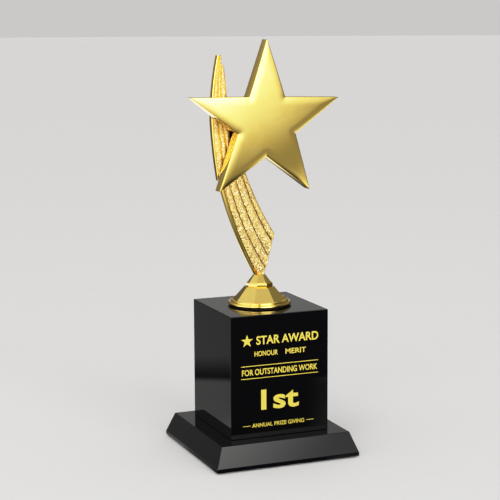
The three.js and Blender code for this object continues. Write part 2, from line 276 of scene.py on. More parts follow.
def polish_group():
    """Hand polishing: slow waves, cloudy patches and hairlines."""
    group = new_group("polish", [
        ("Wave size", "value", 60.0), ("Haze", "value", 0.04),
        ("Base roughness", "value", 0.07), ("Wave depth", "value", 0.1),
    ], [("Roughness", "value"), ("Normal", "vector"), ("Haze mask", "value")])
    source = group.nodes.new("NodeGroupInput").outputs
    place = object_place(group)
    waves = noise(group, place, source["Wave size"], 1.0)
    clouds = noise(group, place, 90.0, 4.0, 0.6)
    hairs = noise(group, stretched(group, place, 14.0), 700.0, 2.0, 0.7)
    haze = remap(group, clouds, 0.42, 0.72, 0.0, 1.0, True)
    hairline = remap(group, hairs, 0.62, 0.74, 0.0, 1.0, True)
    rough = math_node(group, "MULTIPLY", haze, source["Haze"])
    rough = math_node(group, "ADD", rough, source["Base roughness"])
    fine = math_node(group, "MULTIPLY", hairline, 0.03)
    rough = math_node(group, "ADD", rough, fine, clamp=True)
    bump = add(group, "ShaderNodeBump", {
        "Strength": source["Wave depth"], "Distance": 0.0004, "Height": waves})
    connect(group, group.nodes.new("NodeGroupOutput"), {
        "Roughness": rough, "Normal": bump.outputs["Normal"], "Haze mask": haze})
    return group


def frost_group():
    """Sand blasting: tilted grains, each with its own brightness, and a few that glint."""
    group = new_group("frost", [
        ("Grain size", "value", 2600.0), ("Depth", "value", 0.5), ("Glint share", "value", 0.1),
        ("Tilt", "value", 0.5),
    ], [("Grain", "value"), ("Glint", "value"), ("Normal", "vector")])
    source = group.nodes.new("NodeGroupInput").outputs
    place = object_place(group)
    cells = add(group, "ShaderNodeTexVoronoi", {"Vector": place, "Scale": source["Grain size"]})
    shade = add(group, "ShaderNodeSeparateColor", {0: cells.outputs["Color"]})
    pits = noise(group, place, 1500.0, 3.0, 0.7)
    height = math_node(group, "MULTIPLY", cells.outputs["Distance"], 0.7)
    height = math_node(group, "ADD", height, pits)
    level = vector_math(group, "SUBTRACT", {0: cells.outputs["Color"], 1: (0.5, 0.5, 0.5)})
    lean = vector_math(group, "SCALE", {0: level, "Scale": source["Tilt"]})
    surface = add(group, "ShaderNodeNewGeometry").outputs["Normal"]
    tilted = vector_math(group, "NORMALIZE", {0: vector_math(group, "ADD", {0: surface, 1: lean})})
    bump = add(group, "ShaderNodeBump", {
        "Strength": source["Depth"], "Distance": 0.00025, "Height": height, "Normal": tilted})
    least = math_node(group, "SUBTRACT", 1.0, source["Glint share"])
    glint = math_node(group, "GREATER_THAN", shade.outputs[1], least)
    connect(group, group.nodes.new("NodeGroupOutput"), {
        "Grain": shade.outputs[0], "Glint": glint, "Normal": bump.outputs["Normal"]})
    return group


def dust_group():
    """Settled dust and faint finger smears on a glossy surface."""
    group = new_group("dust", [
        ("Amount", "value", 0.3), ("Base roughness", "value", 0.03),
    ], [("Specks", "value"), ("Roughness", "value")])
    source = group.nodes.new("NodeGroupInput").outputs
    place = object_place(group)
    cells = add(group, "ShaderNodeTexVoronoi", {"Vector": place, "Scale": 420.0}, feature="F1")
    speck = remap(group, cells.outputs["Distance"], 0.03, 0.07, 1.0, 0.0)
    patch = remap(group, noise(group, place, 35.0, 3.0), 0.5, 0.75, 0.0, 1.0, True)
    specks = math_node(group, "MULTIPLY", speck, patch)
    specks = math_node(group, "MULTIPLY", specks, source["Amount"])
    smear = remap(group, noise(group, place, 28.0, 5.0, 0.65), 0.5, 0.85, 0.0, 0.05, True)
    rough = math_node(group, "ADD", smear, source["Base roughness"])
    spread = math_node(group, "MULTIPLY", specks, 0.4)
    rough = math_node(group, "ADD", rough, spread, clamp=True)
    connect(group, group.nodes.new("NodeGroupOutput"), {"Specks": specks, "Roughness": rough})
    return group


def fibres_group():
    """Matted fibres or fine grain: where they stand up, how rough they are and how they lean."""
    group = new_group("fibres", [
        ("Fineness", "value", 1000.0), ("Base roughness", "value", 0.7), ("Depth", "value", 0.6),
    ], [("Fibres", "value"), ("Roughness", "value"), ("Normal", "vector")])
    source = group.nodes.new("NodeGroupInput").outputs
    matted = noise(group, object_place(group), source["Fineness"], 6.0, 0.75)
    rough = remap(group, matted, 0.3, 0.7, 0.0, 0.12)
    rough = math_node(group, "ADD", rough, source["Base roughness"], clamp=True)
    bump = add(group, "ShaderNodeBump", {
        "Strength": source["Depth"], "Distance": 0.0003, "Height": matted})
    connect(group, group.nodes.new("NodeGroupOutput"), {
        "Fibres": matted, "Roughness": rough, "Normal": bump.outputs["Normal"]})
    return group


EFFECTS = {
    "polish": polish_group, "frost": frost_group, "dust": dust_group, "fibres": fibres_group,
}


def effect(tree, name, inputs):
    """One of the shared effects, placed in a material with its own values."""
    group = bpy.data.node_groups.get(name) or EFFECTS[name]()
    node = tree.nodes.new("ShaderNodeGroup")
    node.node_tree = group
    for key, value in inputs.items():
        node.inputs[key].default_value = value
    return node.outputs


def new_material(name):
    """An empty material with a Principled shader, its tree and the shader."""
    material = bpy.data.materials.new(name)
    material.use_nodes = True
    tree = material.node_tree
    shader = tree.nodes["Principled BSDF"]
    return material, tree, shader


# ---------------------------------------------------------------- materials

def polished_gold(name, roughness, haze=0.03, wave_depth=0.05):
    """Mirror-polished gold plating with a faintly deeper tone where the polish is hazy."""
    material, tree, shader = new_material(name)
    gold = bpy.context.scene.trophy_gold.polished
    polish = effect(tree, "polish", {
        "Base roughness": roughness, "Haze": haze, "Wave depth": wave_depth})
    deeper = tinted(gold, (0.97, 0.93, 0.82))
    shader.inputs["Metallic"].default_value = 1.0
    connect(tree, shader, {
        "Base Color": blend_colour(tree, polish["Haze mask"], opaque(gold), deeper),
        "Roughness": polish["Roughness"], "Normal": polish["Normal"]})
    return material


def frosted_gold():
    """Sand-blasted gold: matt grains, and a few smoother grains whose paler colour is a painted glint."""
    material, tree, shader = new_material("frosted gold")
    gold = bpy.context.scene.trophy_gold.frosted
    frost = effect(tree, "frost", {
        "Grain size": 1750.0, "Depth": 0.5, "Glint share": 0.07, "Tilt": 0.55})
    dark = tinted(gold, (0.6, 0.5, 0.36))
    bright = tinted(gold, (1.04, 1.08, 1.3))
    # Paler colour of the glinting grains: a painted glint, on top of their lower roughness.
    painted_glint_colour = (1.0, 0.88, 0.55, 1.0)
    body = blend_colour(tree, frost["Grain"], dark, bright)
    shader.inputs["Metallic"].default_value = 1.0
    connect(tree, shader, {
        "Base Color": blend_colour(tree, frost["Glint"], body, painted_glint_colour),
        "Roughness": remap(tree, frost["Glint"], 0.0, 1.0, 0.42, 0.2), "Normal": frost["Normal"]})
    return material


def black_crystal():
    """Mirror-polished black crystal with a little dust and smearing."""
    material, tree, shader = new_material("black crystal")
    tint = bpy.context.scene.trophy_crystal.tint
    dusty = (0.32, 0.31, 0.3, 1.0)
    dust = effect(tree, "dust", {"Amount": 0.16, "Base roughness": 0.012})
    shader.inputs["IOR"].default_value = 1.3
    connect(tree, shader, {
        "Base Color": blend_colour(tree, dust["Specks"], opaque(tint), dusty),
        "Roughness": dust["Roughness"]})
    return material


def foil_gold():
    """Printed gold foil, slightly mottled."""
    material, tree, shader = new_material("foil gold")
    gold = bpy.context.scene.trophy_gold.print_gold
    mottle = noise(tree, object_place(tree), 900.0, 3.0, 0.6)
    dull = tinted(gold, (0.8, 0.78, 0.7))
    shader.inputs["Metallic"].default_value = 0.15
    connect(tree, shader, {
        "Base Color": blend_colour(tree, mottle, dull, opaque(gold)),
        "Roughness": remap(tree, mottle, 0.3, 0.7, 0.32, 0.5)})
    return material


def bright_steel():
    """Zinc-plated steel with a faint spangle and turned streaks."""
    material, tree, shader = new_material("bright steel")
    place = object_place(tree)
    spangle = noise(tree, place, 240.0, 3.0, 0.6)
    streaks = noise(tree, stretched(tree, place, 20.0), 300.0)
    grey, silver = (0.5, 0.5, 0.53, 1.0), (0.7, 0.71, 0.73, 1.0)
    shader.inputs["Metallic"].default_value = 1.0
    connect(tree, shader, {
        "Base Color": blend_colour(tree, spangle, grey, silver),
        "Roughness": remap(tree, streaks, 0.3, 0.7, 0.24, 0.4)})
    return material


def dull_sheet(name, dark, light, fineness, roughness):
    """A matt material with a fibrous grain, for felt, fibre and rubber."""
    material, tree, shader = new_material(name)
    fibres = effect(tree, "fibres", {"Fineness": fineness, "Base roughness": roughness})
    connect(tree, shader, {
        "Base Color": blend_colour(tree, fibres["Fibres"], opaque(dark), opaque(light)),
        "Roughness": fibres["Roughness"], "Normal": fibres["Normal"]})
    return material


def felt():
    """Black felt of the pad."""
    return dull_sheet("felt", (0.012, 0.012, 0.013), (0.04, 0.04, 0.043), 1400.0, 0.86)


def fibre():
    """Red-brown pressed fibre of the washer."""
    return dull_sheet("fibre", (0.16, 0.06, 0.03), (0.32, 0.14, 0.07), 900.0, 0.7)


def rubber():
    """Black rubber of the gasket."""
    return dull_sheet("rubber", (0.008, 0.008, 0.008), (0.02, 0.02, 0.02), 500.0, 0.55)


def bright_polish():
    """Polish of the foot, rails and bracket."""
    return polished_gold("polished gold", bpy.context.scene.trophy_gold.polish_roughness)


def star_polish():
    """The star's calmer polish."""
    roughness = bpy.context.scene.trophy_gold.star_roughness
    return polished_gold("star gold", roughness, haze=0.02, wave_depth=0.02)


# Each material's maker and the slot name listed for its pieces.
MATERIALS = {
    "polished gold": (bright_polish, "polished_gold"),
    "star gold": (star_polish, "polished_gold"),
    "frosted gold": (frosted_gold, "frosted_gold"),
    "black crystal": (black_crystal, "black_crystal"),
    "foil gold": (foil_gold, "polished_gold"),
    "bright steel": (bright_steel, "zinc_steel"),
    "felt": (felt, "felt"),
    "fibre": (fibre, "fibre"),
    "rubber": (rubber, "black_rubber"),
}


def material_called(name):
    """The material of this name, made when first asked for."""
    return bpy.data.materials.get(name) or MATERIALS[name][0]()


# ---------------------------------------------------------------- mesh helpers

def piece_from(mesh, name, materials, nodes=(), smooth_angle=30, keep_flat=False):
    """Puts a mesh in the scene as a named piece that rides with the trophy.

    With keep_flat, the big faces stay optically flat and only the eased edges turn the light.
    """
    for material in materials:
        mesh.materials.append(material_called(material))
    mesh.shade_smooth()
    mesh.set_sharp_from_angle(angle=math.radians(smooth_angle))
    piece = bpy.data.objects.new(name, mesh)
    bpy.context.scene.collection.objects.link(piece)
    if keep_flat:
        normals = piece.modifiers.new("flat faces", "WEIGHTED_NORMAL")
        normals.keep_sharp = True
        normals.weight = 100
    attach(piece, BODY)
    if nodes:
        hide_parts(*nodes)
    return piece


def tidy(mesh, merge):
    """Merges doubled points, drops empty faces and turns the rest outward."""
    form = bmesh.new()
    form.from_mesh(mesh)
    bmesh.ops.remove_doubles(form, verts=form.verts, dist=merge)
    bmesh.ops.dissolve_degenerate(form, edges=form.edges, dist=merge)
    bmesh.ops.recalc_face_normals(form, faces=form.faces)
    form.to_mesh(mesh)
    form.free()


def ease_edges(mesh, width, steps=3, least_angle=25):
    """Rounds every edge sharper than an angle."""
    least = math.radians(least_angle)
    form = bmesh.new()
    form.from_mesh(mesh)
    sharp = [e for e in form.edges if e.is_manifold and e.calc_face_angle(0) > least]
    round_edges(form, sharp, width, steps)
    bmesh.ops.recalc_face_normals(form, faces=form.faces)
    form.to_mesh(mesh)
    form.free()


def round_edges(form, edges, width, steps):
    """Rounds some edges of a form."""
    bmesh.ops.bevel(
        form, geom=edges, offset=width, segments=steps, profile=0.5, affect="EDGES", clamp_overlap=True)


def edges_along_y(form, least):
    """The edges that run at least so far along Y."""
    return [e for e in form.edges if abs(e.verts[0].co.y - e.verts[1].co.y) > least]


def lofted(name, loops, closed_loop=False, finish=None, merge=1e-6):
    """A clean mesh through loops of points with the same count.

    It is capped at both ends unless it closes on itself. A finish gives each face the material of
    its place round the loop, and the caps that of the last place.
    """
    count = len(loops[0])
    points = [tuple(p) for loop in loops for p in loop]
    faces = []
    spans = len(loops) if closed_loop else len(loops) - 1
    for level in range(spans):
        low = level * count
        high = ((level + 1) % len(loops)) * count
        for i in range(count):
            j = (i + 1) % count
            faces.append((low + i, low + j, high + j, high + i))
    if not closed_loop:
        faces.append(tuple(range(count - 1, -1, -1)))
        faces.append(tuple(range((len(loops) - 1) * count, len(loops) * count)))
    mesh = bpy.data.meshes.new(name)
    mesh.from_pydata(points, [], faces)
    if finish:
        mesh.polygons.foreach_set("material_index", finish * spans + [finish[-1]] * 2)
    tidy(mesh, merge)
    return mesh


def ring_of(radius, height, sides, turn=0.0):
    """Points round a circle or regular polygon about the trophy's axis."""
    angles = [turn + 2 * math.pi * i / sides for i in range(sides)]
    return [(radius * math.sin(a), -radius * math.cos(a), height) for a in angles]


def square_loop(half, height):
    """Corners of a level square about the trophy's axis."""
    return [(-half, -half, height), (half, -half, height), (half, half, height), (-half, half, height)]


def arc(centre, radius, start, end, steps):
    """Points of a circular arc in a profile, angles in degrees from the outward direction."""
    angles = np.radians(np.linspace(start, end, steps))
    return [(centre[0] + radius * math.cos(a), centre[1] + radius * math.sin(a)) for a in angles]


# ---------------------------------------------------------------- base

def build_plinth():
    """Bevelled crystal slab."""
    ease = bpy.context.scene.trophy_crystal.edge_round
    low, high = PLINTH_LOW.z, PLINTH_HIGH.z
    bottom_half = PLINTH_HIGH.x
    slope_run = 5.9 * MM
    top_half = bottom_half - slope_run
    band = 2.6 * MM
    mesh = lofted("plinth_crystal", [
        square_loop(bottom_half, low),
        square_loop(bottom_half, low + band),
        square_loop(top_half, high),
    ])
    ease_edges(mesh, ease, least_angle=15)
    return piece_from(mesh, "plinth_crystal", ["black crystal"], ["plinth"], 60, keep_flat=True)


def build_column():
    """Square crystal block."""
    ease = bpy.context.scene.trophy_crystal.edge_round
    half = COLUMN_HIGH.x
    mesh = lofted("column_crystal", [
        square_loop(half, COLUMN_LOW.z),
        square_loop(half, COLUMN_HIGH.z),
    ])
    ease_edges(mesh, ease)
    return piece_from(mesh, "column_crystal", ["black crystal"], ["column"], 60, keep_flat=True)


def build_pad():
    """Felt pad with a soft rounded edge."""
    low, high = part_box("felt_pad")
    half = high.x
    soft = 0.35 * (high.z - low.z)
    mesh = lofted("felt_pad_cloth", [
        square_loop(half - soft, low.z),
        square_loop(half, low.z + soft),
        square_loop(half, high.z - soft),
        square_loop(half - soft, high.z),
    ])
    return piece_from(mesh, "felt_pad_cloth", ["felt"], ["felt_pad"], 50)


# ---------------------------------------------------------------- foot

FACETS = 8
FACET_TURN = math.radians(11)
# A turned polygon's corner reaches past its box by this much.
CORNER_REACH = 1 / math.cos(FACET_TURN)


def build_foot_ring():
    """Turned ring with a broad lower bead and a slim upper one."""
    low, high = RING_LOW.z, RING_HIGH.z
    radius = RING_HIGH.x
    bore = 9 * MM
    profile = [(bore, low), (radius - 1.1 * MM, low)]
    profile += arc((radius - 1.3 * MM, low + 1.3 * MM), 1.3 * MM, -70, 78, 12)
    profile += arc((radius - 3.2 * MM, low + 3.0 * MM), 1.05 * MM, -25, 92, 10)
    profile += [(radius - 4.0 * MM, high), (bore, high)]
    sides = 144
    loops = [[(r * math.sin(a), -r * math.cos(a), z) for r, z in profile]
             for a in [2 * math.pi * i / sides for i in range(sides)]]
    mesh = lofted("foot_ring_turned", loops, closed_loop=True)
    return piece_from(mesh, "foot_ring_turned", ["polished gold"], ["foot_ring"], 35)


def faceted(name, levels, node, ease):
    """An eight-sided cast part through [radius, height] levels, its edges slightly softened."""
    mesh = lofted(name, [ring_of(radius, height, FACETS, FACET_TURN) for radius, height in levels])
    ease_edges(mesh, ease, 3, 12)
    return piece_from(mesh, name, ["polished gold"], [node], 60, keep_flat=True)


def build_bell():
    """Eight-sided bell with a small lip at the bottom."""
    wide = BELL_HIGH.x * CORNER_REACH
    narrow = 11.7 * MM
    lip = 0.3 * MM
    return faceted("foot_bell_cast", [
        (wide, BELL_LOW.z),
        (wide, BELL_LOW.z + lip),
        (narrow, BELL_HIGH.z),
    ], "foot_bell", 0.3 * MM)


def build_collar():
    """Eight-sided band with eased rims."""
    wide = COLLAR_HIGH.x * CORNER_REACH
    slim = 0.5 * MM
    return faceted("foot_collar_cast", [
        (wide - slim, COLLAR_LOW.z),
        (wide, COLLAR_LOW.z + slim),
        (wide, COLLAR_HIGH.z - slim),
        (wide - slim, COLLAR_HIGH.z),
    ], "foot_collar", 0.15 * MM)


def build_neck():
    """Eight-sided neck that holds the ribbon."""
    wide = SOCKET_HIGH.x * CORNER_REACH
    narrow = 5.0 * MM
    lip = 0.2 * MM
    slim = 0.3 * MM
    return faceted("neck_cast", [
        (wide, COLLAR_HIGH.z),
        (wide, COLLAR_HIGH.z + lip),
        (narrow, NECK_TOP - lip),
        (narrow - slim, NECK_TOP),
    ], "ribbon_socket", 0.25 * MM)


# ---------------------------------------------------------------- ribbons

def curve(*points, steps=60):
    """Samples of chained quadratic curves: start, pull, end, pull, end...

    The points are in millimetres, across and above the neck's top.
    """
    samples = []
    for i in range(0, len(points) - 2, 2):
        start, pull, end = (np.array(p, float) for p in points[i:i + 3])
        t = np.linspace(0, 1, steps)[:, None]
        samples.append((1 - t) ** 2 * start + 2 * t * (1 - t) * pull + t ** 2 * end)
    path = np.concatenate(samples) * MM
    return path[:, 0], path[:, 1] + NECK_TOP


def across(path, height):
    """Where a rising curve is, across the ribbon, at a height; it runs straight on past its ends."""
    x, z = path
    slope_low = (x[1] - x[0]) / (z[1] - z[0])
    slope_high = (x[-1] - x[-2]) / (z[-1] - z[-2])
    inside = np.interp(height, z, x)
    inside = np.where(height < z[0], x[0] + slope_low * (height - z[0]), inside)
    return np.where(height > z[-1], x[-1] + slope_high * (height - z[-1]), inside)


def crossing(path, edge, low, high):
    """Height where a groove meets the slanted edge."""
    heights = np.linspace(low, high, 400)
    gap = across(path, heights) - across(edge, heights)
    return heights[int(np.argmin(np.abs(gap)))]


# Places of the two finishes in a ribbon's list of materials.
FROSTED, POLISHED = 0, 1
RIBBON_MATERIALS = ["frosted gold", "polished gold"]


def stripe_profile(grooves):
    """The front's columns from rail to free edge: [left line, right line, share, shift, depth, finish]."""
    ribbon = bpy.context.scene.trophy_ribbon
    half = ribbon.groove_width / 2
    deep = ribbon.groove_depth
    columns = [
        (0, 1, 0.0, 0.0, 0.4 * MM, POLISHED),
        (0, 1, 0.06, 0.0, 0.12 * MM, POLISHED),
        (0, 1, 0.15, 0.0, 0.0, POLISHED),
        (0, 1, 0.45, 0.0, -0.04 * MM, POLISHED),
        (0, 1, 0.75, -half, 0.05 * MM, POLISHED),
    ]
    for line in range(1, grooves + 1):
        columns += [
            (line, line, 0.0, -half, 0.1 * MM, POLISHED),
            (line, line, 0.0, -0.6 * half, 0.8 * deep, POLISHED),
            (line, line, 0.0, 0.0, deep, POLISHED),
            (line, line, 0.0, 0.6 * half, 0.8 * deep, POLISHED),
            (line, line, 0.0, half, 0.12 * MM, FROSTED),
        ]
        for share in (0.08, 0.22, 0.4, 0.6, 0.78, 0.92):
            bulge = ribbon.crown * (1 - (2 * share - 1) ** 2)
            columns.append((line, line + 1, share, half * (1 - 2 * share), -bulge, FROSTED))
    return columns


def slot_opening(height):
    """How much the rail's groove opens where the lower ribbon runs out at the neck."""
    slot_length = 6 * MM
    widening = 2.2
    return 1 + widening * max(0.0, 1 - (height - NECK_TOP) / slot_length)


def ribbon_mesh(name, lines, free_edge, heights, front, back):
    """A ribbon from its lines: outer edge, grooves and last guide, cut off at the free edge."""
    columns = stripe_profile(len(lines) - 2)
    ease = 0.3 * MM
    least_rail = 0.25 * MM
    last_line = len(lines) - 1
    loops = []
    for row in heights:
        x, y, z = [], [], []
        for left, right, share, shift, depth, _ in columns:
            height = row(left / last_line * (1 - share) + right / last_line * share)
            a = across(lines[left], height)
            b = across(lines[right], height)
            first_groove = left == right == 1
            beside = first_groove or (left, right) == (1, 2)
            opening = slot_opening(height)
            x.append(float(a + (b - a) * share + shift * (opening if beside else 1)))
            y.append(front + depth * (opening if first_groove and depth > ease else 1))
            z.append(height)
        last = row(1.0)
        stop = float(free_edge(last))
        y, z = np.array(y), np.array(z)
        order = np.maximum.accumulate(x)
        inner_stop = max(stop - ease, order[0] + least_rail)
        at_stop = float(np.interp(inner_stop, order, y))
        past = order >= inner_stop
        order[past] = inner_stop
        y[past] = at_stop
        z[past] = last
        first = float(order[0])
        stop = inner_stop + ease
        loop = list(zip(order, y, z))
        loop += [
            (stop, at_stop + ease, last), (stop, back - ease, last), (stop - ease, back, last),
            (first + ease, back, row(0.0)), (first, back - ease, row(0.0)),
        ]
        loops.append(loop)
    finish = [column[-1] for column in columns]
    finish += [POLISHED] * (len(loops[0]) - len(columns))
    return lofted(name, loops, finish=finish, merge=2e-6)


def scalloped(corner, inner, grooves, ribbon_top):
    """The free edge: slanted and scalloped between the groove ends, then the long inner edge."""
    bulge = bpy.context.scene.trophy_ribbon.scallop
    low, high = corner[1][0], corner[1][-1]
    ends = [low] + sorted(crossing(g, corner, low, high) for g in grooves) + [high]

    def free_edge(height):
        if height >= high:
            return across(inner, min(height, ribbon_top))
        step = max(i for i, end in enumerate(ends) if end <= max(height, low))
        step = min(step, len(ends) - 2)
        share = (height - ends[step]) / max(ends[step + 1] - ends[step], 1e-9)
        lift = bulge * math.sin(math.pi * min(max(share, 0.0), 1.0)) ** 0.5
        return across(corner, height) + (lift if 0 < step else 0.0)

    return free_edge


def build_lower_ribbon():
    """Lower ribbon: polished rail and four frosted stripes."""
    outer = curve((-4.4, 0.3), (-22.8, 33.2), (-32.4, 70.5))
    corner = curve((3.0, 0.3), (6.6, 14.8), (11.3, 32.2))
    inner = curve((11.3, 32.2), (-3.2, 55.4), (-13.4, 83.0))
    grooves = [
        curve((-1.6, -1.0), (-21.4, 33.4), (-30.6, 74.0)),
        curve((3.6, 6.0), (-17.8, 39.8), (-26.2, 76.5)),
        curve((7.6, 12.6), (-12.0, 44.8), (-21.6, 80.0)),
        curve((10.8, 23.6), (-5.7, 48.2), (-16.8, 83.0)),
    ]
    rows = bpy.context.scene.trophy_ribbon.rows
    bottom = NECK_TOP + 0.3 * MM
    bend = NECK_TOP + 34 * MM
    left_top, right_top = NECK_TOP + 70.5 * MM, NECK_TOP + 83 * MM
    straight = [lambda share, z=z: z for z in np.linspace(bottom, bend, rows // 2)]
    slanting = [
        lambda share, t=t: bend + t * (left_top + (right_top - left_top) * share - bend)
        for t in np.linspace(0, 1, rows // 2)[1:]]
    free_edge = scalloped(corner, inner, grooves[1:], right_top)
    mesh = ribbon_mesh("lower_ribbon_cast", [outer, *grooves, inner], free_edge,
                       straight + slanting, UPPER_LOW.y, UPPER_HIGH.y)
    return piece_from(mesh, "lower_ribbon_cast", RIBBON_MATERIALS, ["lower_ribbon"], 32)


def build_upper_ribbon():
    """Upper ribbon: polished rail and three frosted stripes, stepped at the top."""
    outer = curve((-34.4, 74.5), (-38.6, 100.0), (-39.4, 122.0), (-39.1, 146.0), (-34.1, 168.7))
    corner = curve((-33.6, 74.5), (-29.6, 91.0), (-24.8, 104.6))
    inner = curve((-24.8, 104.6), (-26.0, 133.0), (-29.1, 160.6))
    grooves = [
        curve((-33.6, 76.5), (-37.6, 100.0), (-38.0, 122.0), (-37.6, 146.0), (-32.5, 170.0)),
        curve((-29.2, 84.5), (-36.4, 123.0), (-32.7, 164.0)),
        curve((-26.2, 93.0), (-32.8, 127.0), (-31.1, 164.0)),
    ]
    rows = bpy.context.scene.trophy_ribbon.rows
    bottom, top = UPPER_LOW.z, UPPER_HIGH.z
    step_low, step_high = NECK_TOP + 160.6 * MM, NECK_TOP + 163 * MM
    tip_side = -31.3 * MM
    heights = sorted(set(np.linspace(bottom, top, rows)) | {step_low, step_high})
    main_edge = scalloped(corner, inner, grooves[1:], top)

    def free_edge(height):
        if height <= step_low:
            return main_edge(height)
        at_step = float(main_edge(step_low))
        share = min((height - step_low) / (step_high - step_low), 1.0)
        return at_step + (tip_side - at_step) * share

    mesh = ribbon_mesh("upper_ribbon_cast", [outer, *grooves, inner], free_edge,
                       [lambda share, z=z: z for z in heights], UPPER_LOW.y, UPPER_HIGH.y)
    return piece_from(mesh, "upper_ribbon_cast", RIBBON_MATERIALS, ["upper_ribbon"], 32)


# ---------------------------------------------------------------- star

# The flat star, from its middle to the sharp corners, before its tips are eased and its face domed.
STAR_RADIUS = 63.2 * MM
STAR_INNER_RATIO = 0.39
STAR_LEAN = math.radians(-1)
STAR_MIDDLE = Vector((-0.2 * MM, NECK_TOP + 117.6 * MM))
STAR_WALL = 2 * MM


def star_corners(radius, lean=0.0):
    """Tips and notches of a flat star in turn, from the upper tip round to the left."""
    corners = []
    for i in range(10):
        reach = radius * (1 if i % 2 == 0 else STAR_INNER_RATIO)
        angle = math.pi / 2 + lean + i * math.pi / 5
        corners.append(Vector((reach * math.cos(angle), reach * math.sin(angle))))
    return corners


def star_outline(steps):
    """The star's outline with eased tips and notches."""
    corners = star_corners(STAR_RADIUS, STAR_LEAN)
    tip_cut, notch_cut = 1.0 * MM, 0.4 * MM
    cuts = [tip_cut, notch_cut] * 5
    points = []
    for i, corner in enumerate(corners):
        before, after = corners[i - 1], corners[(i + 1) % 10]
        start = corner + (before - corner).normalized() * cuts[i]
        end = corner + (after - corner).normalized() * cuts[i]
        turns = 8 if i % 2 == 0 else 4
        for step in range(turns):
            t = step / turns
            points.append((1 - t) ** 2 * start + 2 * t * (1 - t) * corner + t * t * end)
        stop = after + (corner - after).normalized() * cuts[(i + 1) % 10]
        points += [end.lerp(stop, step / steps) for step in range(steps)]
    return points


def edge_distances(points):
    """Distance of each point to each of the star's ten edges."""
    corners = [np.array(c) for c in star_corners(STAR_RADIUS, STAR_LEAN)]
    columns = []
    for i in range(10):
        a, b = corners[i], corners[(i + 1) % 10]
        along = b - a
        share = np.clip(((points - a) @ along) / (along @ along), 0, 1)
        columns.append(np.linalg.norm(points - (a + share[:, None] * along), axis=1))
    return np.stack(columns, 1)


def star_face_depth(points, face):
    """How far back the face lies at each point: domed, and falling softly toward every edge."""
    star = bpy.context.scene.trophy_star
    blend = 0.9 * MM
    distance = -blend * np.log(np.exp(-edge_distances(points) / blend).sum(1))
    fall = np.clip(1 - distance / star.roll_width, 0, 1.1)
    radius = np.linalg.norm(points, axis=1) / STAR_RADIUS
    return face + star.dome * radius ** 2 + star.roll_height * fall ** 2.2


def build_star():
    """Hollow star with a softly domed, polished face."""
    star = bpy.context.scene.trophy_star
    outline_points = np.array(star_outline(star.edge_steps))
    corners = star_corners(STAR_RADIUS, STAR_LEAN)
    edge_distance = abs(corners[0].cross(corners[1])) / (corners[1] - corners[0]).length
    face = STAR_LOW.y - star.dome - star.roll_height
    back = STAR_HIGH.y
    lip = 0.45 * MM
    back_lip = 0.25 * MM
    rebate = 2.6 * MM

    def outline_at(inset):
        return outline_points * (edge_distance - inset) / edge_distance

    def wall_ring(inset, depth):
        return [(STAR_MIDDLE.x + p[0], depth, STAR_MIDDLE.y + p[1]) for p in outline_at(inset)]

    def face_ring(inset):
        """A ring on the face, which turns back to the wall within the lip."""
        flat = outline_at(inset)
        turn = lip - math.sqrt(max(lip ** 2 - (lip - min(inset, lip)) ** 2, 0.0))
        depths = star_face_depth(flat, face) + turn
        return [(STAR_MIDDLE.x + p[0], d, STAR_MIDDLE.y + p[1]) for p, d in zip(flat, depths)]

    insets = [0.0, 0.05 * MM, 0.15 * MM, 0.3 * MM, lip, 0.8 * MM, 1.2 * MM, 1.7 * MM]
    insets += [i * MM for i in (2.3, 3, 3.8, 4.6, 5.5, 6.5, 7.5, 8.6, 9.8, 11, 12.4, 14, 15.8, 17.6, 19)]
    hollow = STAR_WALL + 0.15 * MM
    loops = [
        wall_ring(hollow, back - rebate), wall_ring(hollow, back),
        wall_ring(back_lip, back), wall_ring(0.0, back - back_lip),
    ]
    loops += [face_ring(inset) for inset in insets]
    mesh = lofted("star_cast", loops)
    return piece_from(mesh, "star_cast", ["star gold"], ["star_shell"], 40)


# ---------------------------------------------------------------- bracket, spacers and screws

def build_bracket():
    """Polished plate behind the ribbons, its corners rounded."""
    corners = [
        (-28.6, 65.4), (-13.6, 72.6), (-12.0, 79.0), (4.0, 93.0), (10.0, 99.0), (10.0, 127.0),
        (5.0, 132.2), (-30.0, 132.2), (-35.0, 127.0), (-35.6, 105.0), (-31.6, 84.0), (-29.6, 72.0),
    ]
    corner_round = 2.4 * MM
    edge_round = 0.4 * MM
    loops = [[(x * MM, depth, NECK_TOP + rise * MM) for x, rise in corners]
             for depth in (BRACKET_LOW.y, BRACKET_HIGH.y)]
    mesh = lofted("star_bracket_plate", loops)
    form = bmesh.new()
    form.from_mesh(mesh)
    round_edges(form, edges_along_y(form, 1 * MM), corner_round, 6)
    form.to_mesh(mesh)
    form.free()
    ease_edges(mesh, edge_round, 3, 50)
    return piece_from(
        mesh, "star_bracket_plate", ["polished gold"], ["star_bracket"], 60, keep_flat=True)


def turned_along_y(name, profile, x, z, sides=48):
    """A turned part lying along Y, from [radius, depth] pairs that start and end on the axis or close."""
    loops = [[(x + r * math.cos(a), y, z + r * math.sin(a)) for r, y in profile]
             for a in [2 * math.pi * i / sides for i in range(sides)]]
    return lofted(name, loops, closed_loop=True)


def build_spacers():
    """Turned spacers between the star and the bracket."""
    for node in ("lower_star_spacer", "upper_star_spacer"):
        low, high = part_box(node)
        x, z = (low.x + high.x) / 2, (low.z + high.z) / 2
        radius = (high.x - low.x) / 2
        bore = 2.3 * MM
        ease = 0.4 * MM
        collar = 2.6 * MM
        waist = radius - 0.35 * MM
        slope = 0.3 * MM
        profile = [
            (bore, low.y), (radius - ease, low.y), (radius, low.y + ease),
            (radius, low.y + collar), (waist, low.y + collar + slope),
            (waist, high.y - collar - slope), (radius, high.y - collar),
            (radius, high.y - ease), (radius - ease, high.y), (bore, high.y),
        ]
        mesh = turned_along_y(node + "_turned", profile, x, z)
        piece_from(mesh, node + "_turned", ["polished gold"], [node], 30)


